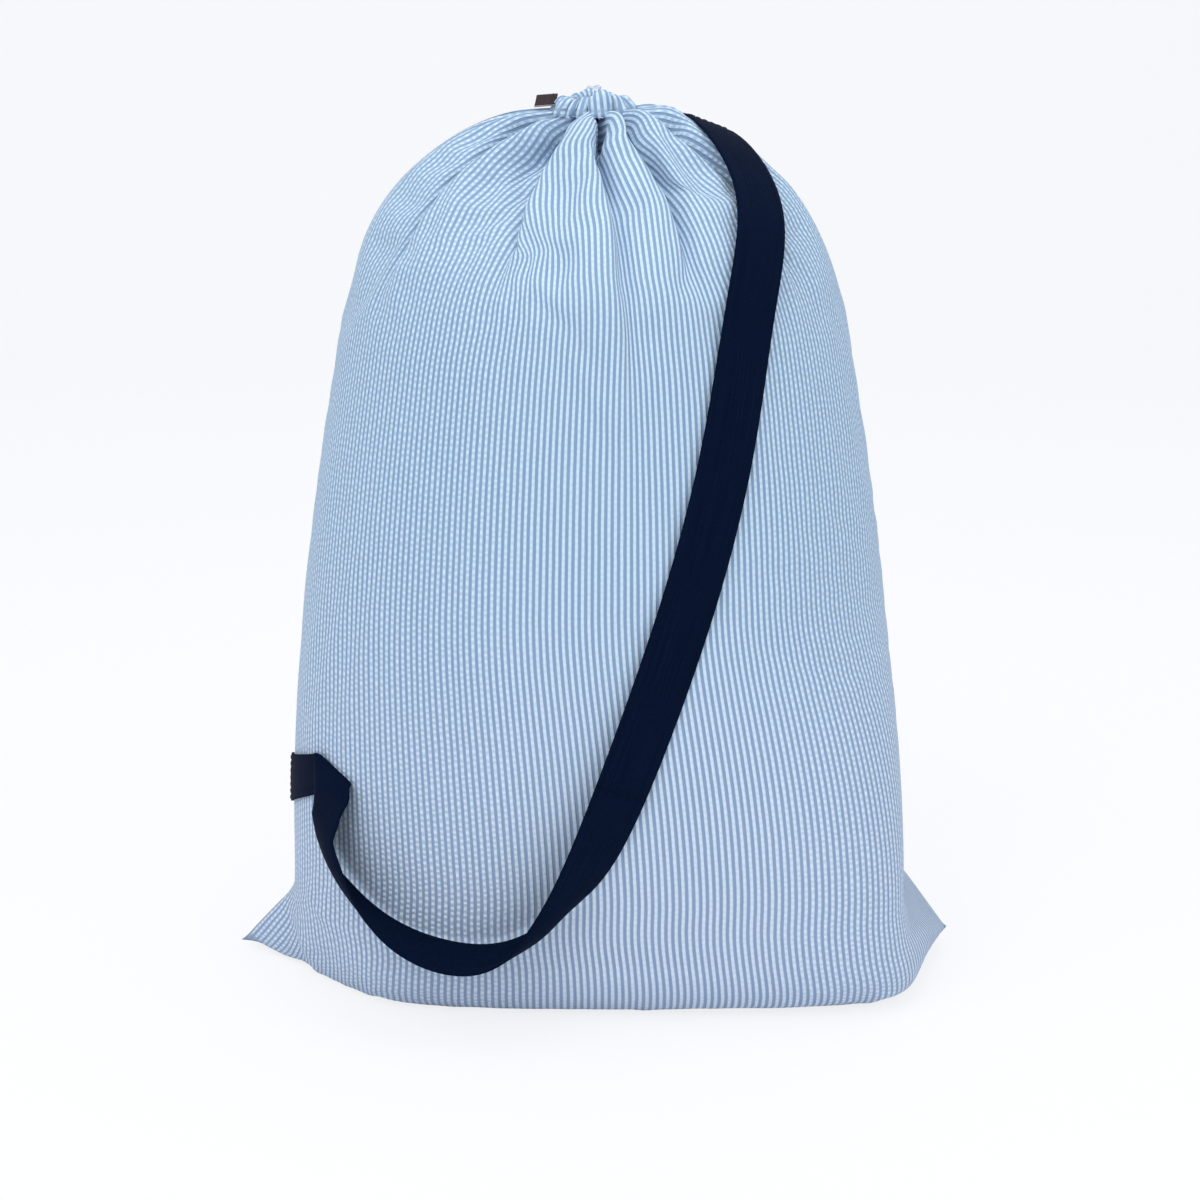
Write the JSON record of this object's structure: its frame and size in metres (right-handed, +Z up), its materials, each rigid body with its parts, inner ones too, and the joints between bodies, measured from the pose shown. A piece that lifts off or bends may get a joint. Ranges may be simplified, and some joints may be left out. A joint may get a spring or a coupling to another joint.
{
  "type": "laundry bag",
  "caption": "Upright filled laundry bag of striped puckered cloth, its mouth gathered on a drawstring, with a webbing strap from the neck to the lower side seam.",
  "frame": {"origin": "on the floor, at the middle of the bottom seam", "axes": "+X to the right of someone facing the front, +Y to the back, +Z up"},
  "size_m": [0.532, 0.347, 0.6394],
  "materials": {
    "cloth": "puckered cotton with fine white and pale blue stripes, matte",
    "thread": "pale cotton sewing thread, matte",
    "cord": "plain cotton cord, matte",
    "webbing": "dark navy ribbed webbing, soft sheen",
    "dark_thread": "navy sewing thread",
    "label": "dark woven ribbon, bare"
  },
  "bodies": {
    "bag": {"front_panel": "cloth", "back_panel": "cloth", "left_seam_edge": "thread", "right_seam_edge": "thread", "bottom_seam_edge": "thread", "front_casing": "cloth", "back_casing": "cloth", "casing_stitching": "thread", "outlet_buttonhole": "thread", "strap_lower_end": "webbing", "strap_upper_end": "webbing", "strap_lower_stitching": "dark_thread", "strap_upper_stitching": "dark_thread"},
    "strap": {"strap": "webbing"},
    "drawstring": {"drawstring": "cord", "drawstring_knot": "cord"},
    "label": {"label": "label", "label_stitching": "dark_thread"}
  },
  "joints": [
    {"name": "strap_swing", "type": "hinge", "parent": "bag", "child": "strap", "pos_m": [-0.20318, -0.07635, 0.18299], "axis": [-0.5117, -0.1437, -0.847], "range_deg": [0, 65]},
    {"name": "drawstring_run", "type": "hinge", "parent": "bag", "child": "drawstring", "pos_m": [0, 0, 0.6328], "axis": [0, 0, 1], "range_deg": [-6, 6]},
    {"name": "label_flip", "type": "hinge", "parent": "bag", "child": "label", "pos_m": [-0.02602, 0.00366, 0.63216], "axis": [0.0897, 0.9026, 0.421], "range_deg": [-4, 45], "stiffness_Nm_per_rad": 0.002}
  ]
}
